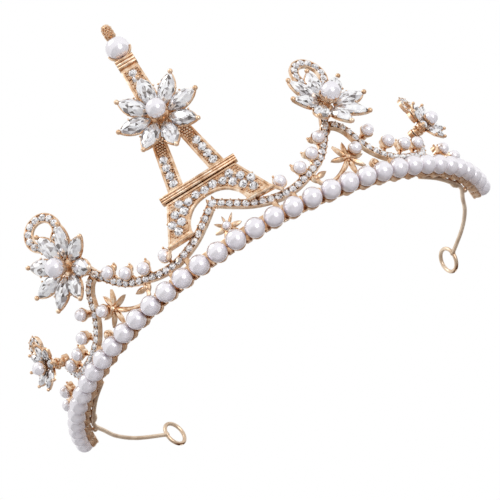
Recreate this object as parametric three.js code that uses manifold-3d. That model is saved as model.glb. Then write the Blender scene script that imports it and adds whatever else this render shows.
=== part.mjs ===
// Bridal tiara: a band of pearls in cups, a tower at the front, five crystal
// flowers, two flowering vines and a ringed wire at each end. Millimetres, +Z up,
// front towards -Y.
import * as THREE from 'three';
import Module from 'manifold-3d';
import { mergeVertices } from 'three/addons/utils/BufferGeometryUtils.js';

const wasm = await Module();
wasm.setup();

// ---- driving dimensions -------------------------------------------------
// Lengths along the band are measured on the pearl line. Heights of the vines,
// the tower and the flowers are measured in one drawing that stands on the
// strip's upper edge, which lies at drawnRise in it.
const fitGap = 0.3;            // between pieces that are soldered or glued together
const pearlGap = 0.2;          // round a pearl in its cup

const bandRadius = 76.8;       // pearl line, seen from above
const pearlCount = 37;
const pearlRadius = 3.0;
const pearlSpacing = 0.3;      // between neighbouring pearls
const cupWall = 0.2;
const cupFoot = 0.8;           // of a cup inside the strip
const bandCupRim = 0.5;        // cup's rim behind the pearl's centre, as a share of its radius
const flowerCupRim = 0.6;
const spireCupRim = 0.72;
const stripThickness = 1.2;
const stripBelow = 0.2;        // strip's lower edge under the pearls
const stripShort = 0.1;        // its upper edge under their tops
const drawnRise = 2.9;

const castingProud = 0.7;      // vines in front of the strip
const castingThickness = 1.6;
const vineWidth = 3.0;
const strandWidth = 2.8;
const sprigWidth = 1.1;
const footWidth = 1.7;
const vinePearlRadius = 1.95;
const starReach = 5.8;
const starLeafWidth = 1.7;
const bandStarHeight = 6.1;
const bandStarPearl = 1.3;

const towerThickness = 1.5;
const towerBehind = 0.6;       // back of the tower behind the front of the vines
const towerFootHeight = 9.9;
const towerFootOuter = 17.2;   // half-widths, from the foot up
const towerFootInner = 9.3;
const towerShoulder = 11.6;
const archHeight = 17.7;
const barHeight = 21.5;
const barDeep = 3.2;
const barHalfWidth = 12.5;
const barProud = 0.8;          // crossbar in front of the tower's face
const legFootOuter = 9.5;
const legFootInner = 4.5;
const legTopHeight = 39;
const legTopOuter = 6.75;
const legTopInner = 2.15;
const legGapTop = 45.5;
const spireFootHeight = 54;
const spireHalfWidth = 2.9;
const collarHeight = 67.3;
const collarRadius = 3.2;
const collarDeep = 3;
const spirePearlRadius = 3.75;
const pegRadius = 0.6;
const tipRadius = 1.65;
const tipLength = 5.3;
const rimWidth = 1.1;          // raised rims round the beds of small stones
const bedDepth = 0.5;

const centreFlowerBelow = 19.1; // its centre under the collar
const sideFlowerAlong = 48.8;
const sideFlowerHeight = 29.2;
const sideFlowerTurn = 8;      // degrees that the flower faces away from the front
const endFlowerAlong = 82;
const endFlowerHeight = 16;
const endFlowerTurn = 0;

const wireRadius = 0.7;
const ringRadius = 4.2;        // of the ring's wire centre
const wireDrop = 1.8;          // soldered stretch under the pearl line
const wireSpread = 3.1;        // both rings are bent this far to the wearer's left
const solderRadius = 0.95;

// One large and one small pattern of flower serve all five places. The stones'
// lift is in degrees, and stem is the post under the flower's pearl.
const largeFlower = {
  stones: 8, stoneLength: 9.3, stoneWidth: 4.5, stoneDepth: 1.7, reach: 12.3,
  lift: 16, pearl: pearlRadius, hubRadius: 2.7, stem: 1.35, prong: 0.7,
};
const smallFlower = {
  stones: 8, stoneLength: 5.6, stoneWidth: 2.7, stoneDepth: 1.3, reach: 7.9,
  lift: 24, pearl: 2.1, hubRadius: 1.9, stem: 0.95, prong: 0.5,
};
const sideLoop = { outer: 6.0, hole: 3.1, centre: 13.0, lean: 0.8, thickness: 1.1 };
const endLoop = { outer: 3.7, hole: 1.8, centre: 8.6, lean: 0.4, thickness: 0.9 };

// ---- worked out from them ---------------------------------------------------
const pearlPitch = 2 * pearlRadius + pearlSpacing;
const firstPearl = -(pearlCount - 1) / 2 * pearlPitch;
const stripBack = pearlRadius + fitGap;          // front of the strip behind the pearl line
const stripRise = pearlRadius - stripShort;
const stripDrop = pearlRadius + stripBelow;
const castFront = -(stripBack - castingProud);   // outward from the pearl line
const castBack = castFront - castingThickness;
const towerOutward = castFront - towerBehind;
const footFrom = drawnRise + fitGap;
const barTop = barHeight + barDeep;
const spirePearlHeight = collarHeight + collarDeep + 1.1 + spirePearlRadius + pearlGap;
const centreFlowerHeight = collarHeight - centreFlowerBelow;
const tipFoot = spirePearlHeight + spirePearlRadius + fitGap;
const spireAxis = towerThickness / 2;
const boreRadius = pegRadius + fitGap;

// ---- materials ------------------------------------------------------------
const gold = new THREE.MeshStandardMaterial({ color: 0xd9a566, roughness: 0.28, metalness: 1 });
const wireGold = new THREE.MeshStandardMaterial({ color: 0xcdb59a, roughness: 0.38, metalness: 1 });
const pearl = new THREE.MeshStandardMaterial({ color: 0xf1edf2, roughness: 0.22, metalness: 0 });
const crystal = new THREE.MeshStandardMaterial({ color: 0xe6e8ee, roughness: 0.05, metalness: 0 });

// ---- solids ---------------------------------------------------------------
const quarterTurn = Math.PI / 2;
const radians = THREE.MathUtils.degToRad;

function solidOf(geometry) {
  const bare = geometry.clone();
  bare.deleteAttribute('normal');
  bare.deleteAttribute('uv');
  const merged = mergeVertices(bare, 1e-4);
  const mesh = new wasm.Mesh({
    numProp: 3,
    vertProperties: new Float32Array(merged.attributes.position.array),
    triVerts: new Uint32Array(merged.index.array),
  });
  return new wasm.Manifold(mesh);
}

function geometryOf(solid) {
  const mesh = solid.getMesh();
  const geometry = new THREE.BufferGeometry();
  geometry.setAttribute('position', new THREE.BufferAttribute(mesh.vertProperties, 3));
  geometry.setIndex(new THREE.BufferAttribute(mesh.triVerts, 1));
  geometry.computeVertexNormals();
  return geometry;
}

function joined(geometries) {
  return geometries.map(solidOf).reduce((whole, piece) => whole.add(piece));
}

// A flat piece drawn as along-height becomes part of the cylinder round the head.
function bent(geometry) {
  const place = geometry.attributes.position;
  for (let i = 0; i < place.count; i += 1) {
    const angle = place.getX(i) / bandRadius;
    const radius = bandRadius + place.getZ(i);
    place.setXYZ(i, radius * Math.sin(angle), -radius * Math.cos(angle), place.getY(i));
  }
  geometry.computeVertexNormals();
  return geometry;
}

function mirrored(geometry) {
  const copy = geometry.clone();
  copy.scale(-1, 1, 1);
  const index = copy.index.array;
  for (let i = 0; i < index.length; i += 3) {
    [index[i], index[i + 1]] = [index[i + 1], index[i]];
  }
  copy.computeVertexNormals();
  return copy;
}

// ---- flat outlines ----------------------------------------------------------
const point = (along, height) => new THREE.Vector2(along, height);

function slab(shape, from, to, curveSegments = 6) {
  const options = { depth: to - from, bevelEnabled: false, curveSegments };
  return new THREE.ExtrudeGeometry(shape, options).translate(0, 0, from);
}

const curveOf = (route) => new THREE.SplineCurve(route.map(([along, height]) => point(along, height)));

function ribbon(route, width, steps) {
  const curve = curveOf(route);
  const left = [];
  const right = [];
  for (let i = 0; i <= steps; i += 1) {
    const centre = curve.getPoint(i / steps);
    const way = curve.getTangent(i / steps);
    left.push(point(centre.x - way.y * width / 2, centre.y + way.x * width / 2));
    right.unshift(point(centre.x + way.y * width / 2, centre.y - way.x * width / 2));
  }
  return new THREE.Shape([...left, ...right]);
}

// A pointed oval from start to tip, both given as along-height.
function leaf(start, tip, width) {
  const [from, to] = [point(...start), point(...tip)];
  const middle = from.clone().lerp(to, 0.5);
  const across = to.clone().sub(from).normalize().multiplyScalar(width);
  const shape = new THREE.Shape().moveTo(from.x, from.y);
  shape.quadraticCurveTo(middle.x - across.y, middle.y + across.x, to.x, to.y);
  shape.quadraticCurveTo(middle.x + across.y, middle.y - across.x, from.x, from.y);
  return shape;
}

function disc(centre, radius) {
  return new THREE.Shape().absarc(centre[0], centre[1], radius, 0, Math.PI * 2);
}

function box(fromAlong, toAlong, fromHeight, toHeight, from, to) {
  const geometry = new THREE.BoxGeometry(toAlong - fromAlong, toHeight - fromHeight, to - from);
  return geometry.translate((fromAlong + toAlong) / 2, (fromHeight + toHeight) / 2, (from + to) / 2);
}

function ball(centre, radius) {
  return new THREE.SphereGeometry(radius, 6, 5).translate(...centre);
}

// ---- placing ------------------------------------------------------------------
const tiara = new THREE.Group();
tiara.name = 'tiara';

function addTo(parent, name, geometry, material) {
  const mesh = new THREE.Mesh(geometry, material);
  mesh.name = name;
  parent.add(mesh);
  return mesh;
}

// The drawing of the vines, the tower and the flowers stands on the strip.
const ornaments = new THREE.Group();
ornaments.position.z = stripRise - drawnRise;
tiara.add(ornaments);

// A group whose own axes are along, up and outward at a place on the band.
function seat(parent, along, height, outward, turn = 0) {
  const angle = along / bandRadius;
  const radius = bandRadius + outward;
  const group = new THREE.Group();
  group.position.set(radius * Math.sin(angle), -radius * Math.cos(angle), height);
  group.rotation.set(quarterTurn, 0, angle + radians(turn), 'ZYX');
  parent.add(group);
  return group;
}

// ---- cups and pearls ----------------------------------------------------------
const cupSides = 8;

// Inside of a cup round a pearl at the origin, from the rim back to the axis.
// The chords are set out so that they clear the pearl.
function bowl(radius, rimShare) {
  const steps = 2;
  const rimAngle = Math.asin(rimShare);
  const step = (quarterTurn - rimAngle) / steps;
  const reach = (radius + pearlGap) / Math.cos(step / 2);
  const points = [];
  for (let i = 0; i <= steps; i += 1) {
    const angle = rimAngle + i * step;
    points.push([reach * Math.cos(angle), -reach * Math.sin(angle)]);
  }
  return points;
}

// A turned cup, open towards +Z; the back of its outside runs from the axis out.
function cup(radius, rimShare, back) {
  const inside = bowl(radius, rimShare);
  const rim = [inside[0][0] + cupWall, inside[0][1]];
  const profile = [...back, rim, ...inside].map(([across, out]) => point(across, out));
  return new THREE.LatheGeometry(profile, cupSides).rotateX(quarterTurn);
}

function bead(radius, rings) {
  return new THREE.SphereGeometry(radius, cupSides, rings).rotateX(quarterTurn);
}

// ---- band ---------------------------------------------------------------------
// One flat facet behind each pearl, so that the cups sit square on the strip.
function strip() {
  const edge = (index, radius) => {
    const angle = (firstPearl + (index - 0.5) * pearlPitch) / bandRadius;
    return point(radius * Math.sin(angle), -radius * Math.cos(angle));
  };
  const front = [];
  const back = [];
  for (let i = 0; i <= pearlCount; i += 1) {
    front.push(edge(i, bandRadius - stripBack));
    back.unshift(edge(i, bandRadius - stripBack - stripThickness));
  }
  return slab(new THREE.Shape([...front, ...back]), -stripDrop, stripRise);
}

function bandCup(along) {
  const back = -(stripBack + cupFoot);
  const geometry = cup(pearlRadius, bandCupRim, [[0, back], [0.83 * pearlRadius, back]]);
  const angle = along / bandRadius;
  geometry.rotateX(quarterTurn);
  geometry.rotateZ(angle);
  return geometry.translate(bandRadius * Math.sin(angle), -bandRadius * Math.cos(angle), 0);
}

// Four leaves and a seat for a small pearl, standing between the middle pearls.
function bandStar() {
  const [back, front] = [-stripBack - 0.9, -stripBack + 0.5];
  const centre = [0, bandStarHeight];
  const foot = pearlPitch / 2;
  const leaves = [
    leaf([foot, drawnRise - 1.2], [-2.7, 9.6], 1.3),
    leaf([-foot, drawnRise - 1.2], [3.0, 8.8], 1.3),
    leaf(centre, [5.4, 5.4], 1.6),
    leaf(centre, [-4.6, 5.6], 1.6),
  ];
  const pieces = leaves.map((shape) => slab(shape, back, front, 3));
  pieces.push(slab(disc(centre, bandStarPearl + 0.2), back, front + 0.5, 3));
  pieces.push(ball([...centre, front + 1.2], bandStarPearl));
  return bent(geometryOf(joined(pieces))).translate(0, 0, ornaments.position.z);
}

const rail = [strip(), bandStar()];
for (let i = 0; i < pearlCount; i += 1) {
  rail.push(bandCup(firstPearl + i * pearlPitch));
}
addTo(tiara, 'band_rail', geometryOf(joined(rail)), gold);

for (let i = 0; i < pearlCount; i += 1) {
  const name = `band_pearl_${String(i + 1).padStart(2, '0')}`;
  const place = seat(tiara, firstPearl + i * pearlPitch, 0, 0);
  addTo(place, name, bead(pearlRadius, 5), pearl);
}

// ---- vines ----------------------------------------------------------------------
// Small pearl on a disc with a pointed leaf behind it, growing from the vine.
function bud(centre, root, tip, outward = 0) {
  const front = castFront + outward;
  const pieces = [
    slab(disc(centre, vinePearlRadius + 0.2), castBack + 0.4, front, 3),
    slab(leaf(root, tip, 2.2), castBack + 0.3, castFront - 0.3, 2),
    ball([...centre, front + 0.75 * vinePearlRadius], vinePearlRadius),
  ];
  return pieces;
}

// A foot between two pearls, from the strip's upper edge to the middle of a route.
function foot(near, route, width = footWidth) {
  const gap = Math.round(near / pearlPitch - 0.5) + 0.5;
  const along = gap * pearlPitch;
  const off = (place) => Math.abs(place.x - along);
  const places = curveOf(route).getPoints(100);
  const meets = places.reduce((best, place) => (off(place) < off(best) ? place : best));
  return box(along - width / 2, along + width / 2, footFrom, meets.y, castBack + 0.1, castFront);
}

// Narrow pointed petals of one reach, drawn as a single outline.
function goldStar(centre) {
  const directions = [0, 45, 76, 115, 172, 225, 268, 318];
  const at = (degrees, reach, aside) => {
    const [c, s] = [Math.cos(radians(degrees)), Math.sin(radians(degrees))];
    return point(centre[0] + reach * c - aside * s, centre[1] + reach * s + aside * c);
  };
  const corners = directions.flatMap((degrees, i) => {
    const next = i + 1 < directions.length ? directions[i + 1] : directions[0] + 360;
    const half = starLeafWidth / 2;
    return [
      at(degrees, 0.55 * starReach, -half), at(degrees, starReach, 0), at(degrees, 0.55 * starReach, half),
      at((degrees + next) / 2, 1.5, 0),
    ];
  });
  return [
    slab(new THREE.Shape(corners), castBack + 0.2, castFront - 0.3),
    slab(disc(centre, 1.2), castBack + 0.3, castFront + 0.4, 3),
  ];
}

function vine() {
  const mainRoute = [
    [0.0, 14.2], [5, 10.4], [10, 7.4], [15, 6.0], [20, 5.9], [25, 6.9], [30, 8.8], [35, 11.4],
    [39, 15.0], [44.2, 21.8],
  ];
  const fallRoute = [
    [43.6, 21.6], [46.6, 20.6], [48.7, 18.2], [50.4, 13], [53.2, 8], [58, 5.4], [67, 5.3],
    [76.5, 7.0], [80, 10.0], [82.5, 13.5],
  ];
  const tailRoute = [[78, 7.4], [82, 5.8], [88, 5.4], [94, 5.1], [98, 5.0]];
  const starCentre = [43.4, 8.9];
  const stemRoute = [starCentre, [40.5, 6.0], [37.6, 4.4], [34.65, 3.7], [31.8, 4.6], [31.2, 8.2]];
  const sideFlower = [sideFlowerAlong, sideFlowerHeight];
  const endFlower = [endFlowerAlong, endFlowerHeight];
  const pieces = [
    slab(ribbon(mainRoute, vineWidth, 18), castBack, castFront),
    slab(ribbon(fallRoute, strandWidth, 18), castBack, castFront),
    slab(ribbon(tailRoute, sprigWidth, 5), castBack + 0.2, castFront - 0.2),
    slab(ribbon(stemRoute, sprigWidth, 10), castBack + 0.2, castFront - 0.3),
    slab(ribbon([[43.8, 20], [45.6, 24], sideFlower], vineWidth, 5), castBack, castFront),
    slab(ribbon([[82, 13], endFlower], 2.4, 2), castBack, castFront),
    slab(disc(sideFlower, 2.4), castBack, castFront, 4),
    slab(disc(endFlower, 1.8), castBack, castFront, 4),
    ...goldStar(starCentre),
    slab(leaf([0.4, 12.6], [1.0, 17.0], 1.2), castBack + 0.2, castFront, 3),
    slab(leaf([31.2, 6.9], [35.6, 7.8], 1.3), castBack + 0.2, castFront - 0.3, 3),
    slab(disc([31.2, 6.7], 1.2), castBack + 0.2, castFront, 3),
    slab(disc([52.8, 5.4], 1.6), castBack + 0.2, castFront + 0.3, 3),
    foot(15.7, mainRoute), foot(22, mainRoute), foot(34.6, stemRoute, 1.3),
    foot(53.5, fallRoute), foot(66.1, fallRoute), foot(78.7, fallRoute), foot(91.3, tailRoute),
    ...bud([20.3, 9.7], [19.9, 6.6], [19.9, 13.4]),
    ...bud([27.6, 11.3], [27.0, 8.0], [25.9, 15.0]),
    ...bud([33.9, 14.0], [32.6, 10.4], [31.3, 17.3]),
    ...bud([39.1, 18.4], [38.2, 14.8], [35.4, 20.8]),
    ...bud([47.6, 10.2], [50.6, 12.6], [44.9, 8.2]),
    ...bud([56.0, 15.6], [50.6, 13.4], [59.0, 18.2], 0.8),
    ...bud([61.0, 10.8], [57.4, 6.4], [62.6, 14.2], 0.6),
    ...bud([67.0, 9.2], [63.4, 5.6], [67.6, 12.6], 0.6),
    ...bud([73.6, 9.6], [70.6, 6.0], [73.0, 12.8], 0.6),
    ...bud([89.6, 9.0], [85.4, 5.7], [90.0, 12.2], 0.8),
    ...bud([97.0, 7.6], [95.0, 5.2], [98.6, 10.6], 0.8),
  ];
  const half = box(fitGap / 2, 2 * bandRadius, 0, 2 * sideFlowerHeight, -20, 20);
  return bent(geometryOf(joined(pieces).intersect(solidOf(half))));
}

const vineRight = vine();
addTo(ornaments, 'vine_right', vineRight, gold);
addTo(ornaments, 'vine_left', mirrored(vineRight), gold);

// ---- tower ----------------------------------------------------------------------
// Both halves of an outline that is given on the right from its foot to its top.
function bothSides(right) {
  const left = right.map(([along, height]) => [-along, height]).reverse();
  return [...right, ...left].map(([along, height]) => point(along, height));
}

function towerOutline() {
  const shape = new THREE.Shape(bothSides([
    [towerFootInner, towerFootHeight], [towerFootOuter, towerFootHeight], [towerShoulder, barHeight],
    [legFootOuter, barTop], [legTopOuter, legTopHeight], [spireHalfWidth + 0.4, spireFootHeight],
    [spireHalfWidth, collarHeight],
  ]));
  const [rise, top] = [towerFootHeight + 4.6, archHeight];
  shape.bezierCurveTo(-8.6, rise, -4.8, top, 0, top);
  shape.bezierCurveTo(4.8, top, 8.6, rise, towerFootInner, towerFootHeight);
  return shape;
}

function legGap() {
  const sides = [[legFootInner, barTop - 1], [legTopInner, legTopHeight], [0.2, legGapTop]];
  return slab(new THREE.Shape(bothSides(sides)), -1, towerThickness + 1);
}

// Recesses that hold the beds of small stones.
function towerBeds() {
  const bodyTop = barHeight - rimWidth;
  const foot = towerFootHeight + rimWidth;
  const archTop = archHeight + rimWidth;
  const body = new THREE.Shape(bothSides([
    [towerFootInner + rimWidth, foot], [towerFootOuter - 2 * rimWidth, foot],
    [towerShoulder - 0.8, bodyTop],
  ]));
  body.bezierCurveTo(-9.6, foot + 4.8, -5.2, archTop, 0, archTop);
  body.bezierCurveTo(5.2, archTop, 9.6, foot + 4.8, towerFootInner + rimWidth, foot);
  const leg = [
    [legFootInner + 0.9, barTop + 0.8], [legFootOuter - rimWidth, barTop + 0.8],
    [legTopOuter - 0.45, legTopHeight - 2], [legTopInner + 1.25, legTopHeight - 2],
  ];
  const rightLeg = new THREE.Shape(leg.map(([along, height]) => point(along, height)));
  const leftLeg = new THREE.Shape(leg.map(([along, height]) => point(-along, height)));
  const spireHalf = spireHalfWidth - 0.9;
  const spire = new THREE.Shape(bothSides([[spireHalf, spireFootHeight], [spireHalf, collarHeight - 1.2]]));
  const cut = (shape) => slab(shape, towerThickness - bedDepth, towerThickness + 2, 6);
  return [cut(body), cut(rightLeg), cut(leftLeg), cut(spire)];
}

// Three round ridges along the front of the bar.
function crossbar() {
  const ridge = barDeep / 6;
  const face = -(towerThickness + barProud);
  const shape = new THREE.Shape().moveTo(0.4, barHeight).lineTo(face, barHeight);
  for (let i = 0; i < 3; i += 1) {
    shape.absarc(face, barHeight + (2 * i + 1) * ridge, ridge, -quarterTurn, quarterTurn, true);
  }
  shape.lineTo(0.4, barHeight + barDeep);
  const options = { depth: 2 * barHalfWidth, bevelEnabled: false, curveSegments: 4 };
  return new THREE.ExtrudeGeometry(shape, options).rotateY(quarterTurn).translate(-barHalfWidth, 0, 0);
}

// Ringed collar, the cup over it and the peg that threads the spire's pearl.
function collar() {
  const inside = bowl(spirePearlRadius, spireCupRim).map(([across, up]) => [across, spirePearlHeight + up]);
  const rim = inside[0][1];
  const groove = collarRadius - 0.4;
  const floor = inside.pop()[1];
  const profile = [
    [0, collarHeight - 1], [groove, collarHeight - 1], [collarRadius, collarHeight],
    [collarRadius, collarHeight + 1], [groove, collarHeight + 1.3], [collarRadius, collarHeight + 1.6],
    [collarRadius, collarHeight + 2.6], [groove - 0.4, collarHeight + collarDeep],
    [inside[0][0] + cupWall, rim], ...inside, [pegRadius, floor], [pegRadius, tipFoot + 1.8],
    [0, tipFoot + 1.8],
  ];
  const points = profile.map(([across, height]) => point(across, height));
  return new THREE.LatheGeometry(points, 12).translate(0, 0, spireAxis);
}

// Tabs behind the feet that are soldered to the vines.
function footTab(side) {
  const [near, far] = [towerFootInner + 2.6, towerFootOuter - 2.2];
  const along = [side * near, side * far].sort((a, b) => a - b);
  return box(along[0], along[1], towerFootHeight - 1.4, towerFootHeight + 1.2, -2.0, 0.4);
}

const tower = seat(ornaments, 0, 0, towerOutward);
let frame = solidOf(slab(towerOutline(), 0, towerThickness, 7));
[legGap(), ...towerBeds()].forEach((bed) => { frame = frame.subtract(solidOf(bed)); });
[crossbar(), collar(), footTab(1), footTab(-1)].forEach((piece) => { frame = frame.add(solidOf(piece)); });
addTo(tower, 'tower_frame', geometryOf(frame), gold);

const bore = new THREE.CylinderGeometry(boreRadius, boreRadius, 4 * spirePearlRadius, 8);
const spirePearl = solidOf(new THREE.SphereGeometry(spirePearlRadius, 12, 8)).subtract(solidOf(bore));
addTo(tower, 'spire_pearl', geometryOf(spirePearl), pearl).position.set(0, spirePearlHeight, spireAxis);

const tipProfile = [
  point(0, 2.2), point(boreRadius, 2.2), point(boreRadius, 0), point(tipRadius, 0),
  point(tipRadius, tipLength - 1.2), point(0.7 * tipRadius, tipLength - 0.3), point(0, tipLength),
];
const tip = new THREE.LatheGeometry(tipProfile, 10);
addTo(tower, 'spire_tip', tip, gold).position.set(0, tipFoot, spireAxis);

// ---- flowers --------------------------------------------------------------------
// A pointed oval of unit pattern along X from inner end to outer end.
function marquise(length, width, from, to, bevel) {
  const shape = leaf([bevel, 0], [length - bevel, 0], width - 2 * bevel);
  const options = {
    depth: to - from - 2 * bevel, bevelEnabled: bevel > 0, bevelThickness: bevel, bevelSize: bevel,
    bevelSegments: 1, curveSegments: 3,
  };
  return new THREE.ExtrudeGeometry(shape, options).translate(0, 0, from + bevel);
}

const hubDepth = 0.9;
const plateDepth = 0.8;
const ringFrom = plateDepth + 2 * fitGap;
const ringDepth = 0.6;
const ringLap = 0.7;           // ring under the inner ends of the stones
const cupFrom = ringFrom + ringDepth + fitGap;

// Underside of the stones, in the frame of a petal that is lifted about the centre.
function stoneFloor(flower) {
  const inner = flower.reach - flower.stoneLength;
  return plateDepth + fitGap - Math.sin(radians(flower.lift)) * inner + 0.1;
}

function pearlSeat(flower) {
  return cupFrom + 0.3 + pearlGap + flower.pearl;
}

function petalPlace(geometry, flower, index, phase) {
  geometry.translate(flower.reach - flower.stoneLength, 0, 0);
  geometry.rotateY(-radians(flower.lift));
  return geometry.rotateZ(radians(phase + index * 360 / flower.stones));
}

function loopShape(loop) {
  const shape = new THREE.Shape().moveTo(-1.2, 1.5);
  shape.bezierCurveTo(-1.6, 5, loop.lean - loop.outer, loop.centre - loop.outer, loop.lean - loop.outer, loop.centre);
  shape.absarc(loop.lean, loop.centre, loop.outer, Math.PI, 0, true);
  shape.bezierCurveTo(loop.lean + loop.outer, loop.centre - loop.outer, 1.6, 5, 1.2, 1.5);
  shape.holes.push(new THREE.Path().absarc(loop.lean, loop.centre, loop.hole, 0, Math.PI * 2));
  return shape;
}

// Plates under the stones, drawn flat as one star and raised into a shallow cone.
function petalPlates(flower, phase) {
  const inner = flower.reach - flower.stoneLength;
  const half = flower.stoneWidth / 2 + 0.2;
  const step = 2 * Math.PI / flower.stones;
  const corners = [];
  for (let i = 0; i < flower.stones; i += 1) {
    const angle = radians(phase) + i * step;
    const across = [[flower.reach - 0.28 * flower.stoneLength, 0.78 * half], [flower.reach + flower.prong, 0.3 * half]];
    const middle = [[inner + 0.36 * flower.stoneLength, half]];
    const side = [...middle, ...across];
    const petal = [...side.map(([r, w]) => [r, -w]), ...side.reverse().map(([r, w]) => [r, w])];
    petal.forEach(([r, w]) => {
      corners.push(point(r * Math.cos(angle) - w * Math.sin(angle), r * Math.sin(angle) + w * Math.cos(angle)));
    });
    const valley = 0.9 * flower.hubRadius;
    corners.push(point(valley * Math.cos(angle + step / 2), valley * Math.sin(angle + step / 2)));
  }
  const outline = new THREE.Shape(corners);
  outline.holes.push(new THREE.Path().absarc(0, 0, 0.75 * flower.hubRadius, 0, Math.PI * 2));
  const plates = slab(outline, 0, plateDepth, flower.stones / 2);
  const place = plates.attributes.position;
  for (let i = 0; i < place.count; i += 1) {
    const radius = Math.hypot(place.getX(i), place.getY(i));
    const rise = Math.max(0, radius - inner - ringLap) * Math.tan(radians(flower.lift));
    place.setZ(i, place.getZ(i) + rise);
  }
  return plates;
}

function flowerSetting(flower, phase, loop) {
  const centre = pearlSeat(flower);
  const back = [[0, 0.2 - centre], [flower.stem, 0.2 - centre], [flower.stem, cupFrom - centre]];
  const pieces = [
    slab(disc([0, 0], flower.hubRadius), 0, hubDepth, 5),
    petalPlates(flower, phase),
    cup(flower.pearl, flowerCupRim, back).translate(0, 0, centre),
  ];
  if (loop) {
    pieces.push(slab(loopShape(loop), -0.1, -0.1 + loop.thickness, 5));
  }
  return geometryOf(joined(pieces));
}

// Eight stones on one thin ring, which lies hidden round the stem.
function flowerStones(flower, phase) {
  const ringShape = disc([0, 0], flower.reach - flower.stoneLength + ringLap);
  ringShape.holes.push(new THREE.Path().absarc(0, 0, flower.stem + fitGap, 0, Math.PI * 2));
  const pieces = [slab(ringShape, ringFrom, ringFrom + ringDepth, 5)];
  const floor = stoneFloor(flower);
  for (let i = 0; i < flower.stones; i += 1) {
    const stone = marquise(flower.stoneLength, flower.stoneWidth, floor, floor + flower.stoneDepth, 0.45);
    pieces.push(petalPlace(stone, flower, i, phase));
  }
  return geometryOf(joined(pieces));
}

function addFlower(name, place, flower, phase, loop) {
  addTo(place, `${name}_setting`, flowerSetting(flower, phase, loop), gold);
  addTo(place, `${name}_crystals`, flowerStones(flower, phase), crystal);
  addTo(place, `${name}_pearl`, bead(flower.pearl, 6), pearl).position.set(0, 0, pearlSeat(flower));
}

const halfStep = 180 / largeFlower.stones;
const onTower = towerOutward + towerThickness + fitGap;
addFlower('centre_flower', seat(ornaments, 0, centreFlowerHeight, onTower), largeFlower, 0, null);

function mirroredLoop(loop, side) {
  return { ...loop, lean: side * loop.lean };
}

// A turned flower moves out so that its hub's edge clears the vine.
const onVine = (flower, turn) => castFront + fitGap + Math.sin(radians(turn)) * flower.hubRadius;
[['left', -1], ['right', 1]].forEach(([name, side]) => {
  const sideOut = onVine(largeFlower, sideFlowerTurn);
  const sidePlace = seat(ornaments, side * sideFlowerAlong, sideFlowerHeight, sideOut, side * sideFlowerTurn);
  addFlower(`side_flower_${name}`, sidePlace, largeFlower, halfStep, mirroredLoop(sideLoop, side));
  const endOut = onVine(smallFlower, endFlowerTurn);
  const endPlace = seat(ornaments, side * endFlowerAlong, endFlowerHeight, endOut, side * endFlowerTurn);
  addFlower(`end_flower_${name}`, endPlace, smallFlower, halfStep, mirroredLoop(endLoop, side));
});

// ---- end wires --------------------------------------------------------------------
// Soldered along the inside of the strip, then free to the ring behind its end.
// Places are degrees past the strip's end, distance in from it and height.
function endWire(side) {
  const inside = bandRadius - stripBack - stripThickness - fitGap - wireRadius;
  const stripEnd = pearlCount / 2 * pearlPitch / bandRadius;
  const leaves = -14;
  const ringPast = 34;
  const place = ([past, inward, height]) => {
    const free = Math.max(0, (past - leaves) / (ringPast - leaves));
    const radius = inside - inward + side * wireSpread * free ** 1.5;
    const angle = stripEnd + radians(past);
    return new THREE.Vector3(side * radius * Math.sin(angle), -radius * Math.cos(angle), height);
  };
  const ringAt = place([ringPast, 5.4, 0]);
  const way = new THREE.Vector3(-ringAt.y, ringAt.x, 0).multiplyScalar(side).normalize();
  const meets = ringAt.clone().addScaledVector(way, -ringRadius);
  const soldered = [[-35, 0, -0.9], [-28, 0, -1.3], [-21, 0, -wireDrop], [leaves, 0, -wireDrop]].map(place);
  const free = [[-6, 1.9, -1.4], [4, 3.3, -0.9], [16, 4.6, -0.4]].map(place);
  const route = new THREE.CatmullRomCurve3([...soldered, ...free, meets]);
  const section = new THREE.Shape().absarc(0, 0, wireRadius, 0, Math.PI * 2);
  const options = { steps: 26, extrudePath: route, curveSegments: 3, bevelEnabled: false };
  const wire = new THREE.ExtrudeGeometry(section, options);
  const ring = new THREE.TorusGeometry(ringRadius, wireRadius, 6, 14).rotateX(quarterTurn);
  ring.rotateZ(Math.atan2(way.y, way.x)).translate(...ringAt.toArray());
  const solder = [-18, -11].map((past) => ball(place([past, 0.3, -wireDrop]).toArray(), solderRadius));
  return geometryOf(joined([wire, ring, ...solder]));
}

addTo(tiara, 'end_wire_right', endWire(1), wireGold);
addTo(tiara, 'end_wire_left', endWire(-1), wireGold);

// ---- centred, with the rings' lowest points at the height of the floor ---------------
tiara.updateMatrixWorld(true);
const extent = new THREE.Box3().setFromObject(tiara, true);
tiara.position.set(0, -(extent.min.y + extent.max.y) / 2, -extent.min.z);

export default tiara;
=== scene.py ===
"""Bridal tiara: a row of pearls in a cast band, a tower, five crystal flowers, two
flowering vines and a ringed wire at each end. Shapes are drawn in millimetres."""

import math
import random

import bmesh
import bpy
from mathutils import Matrix, Vector


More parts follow.
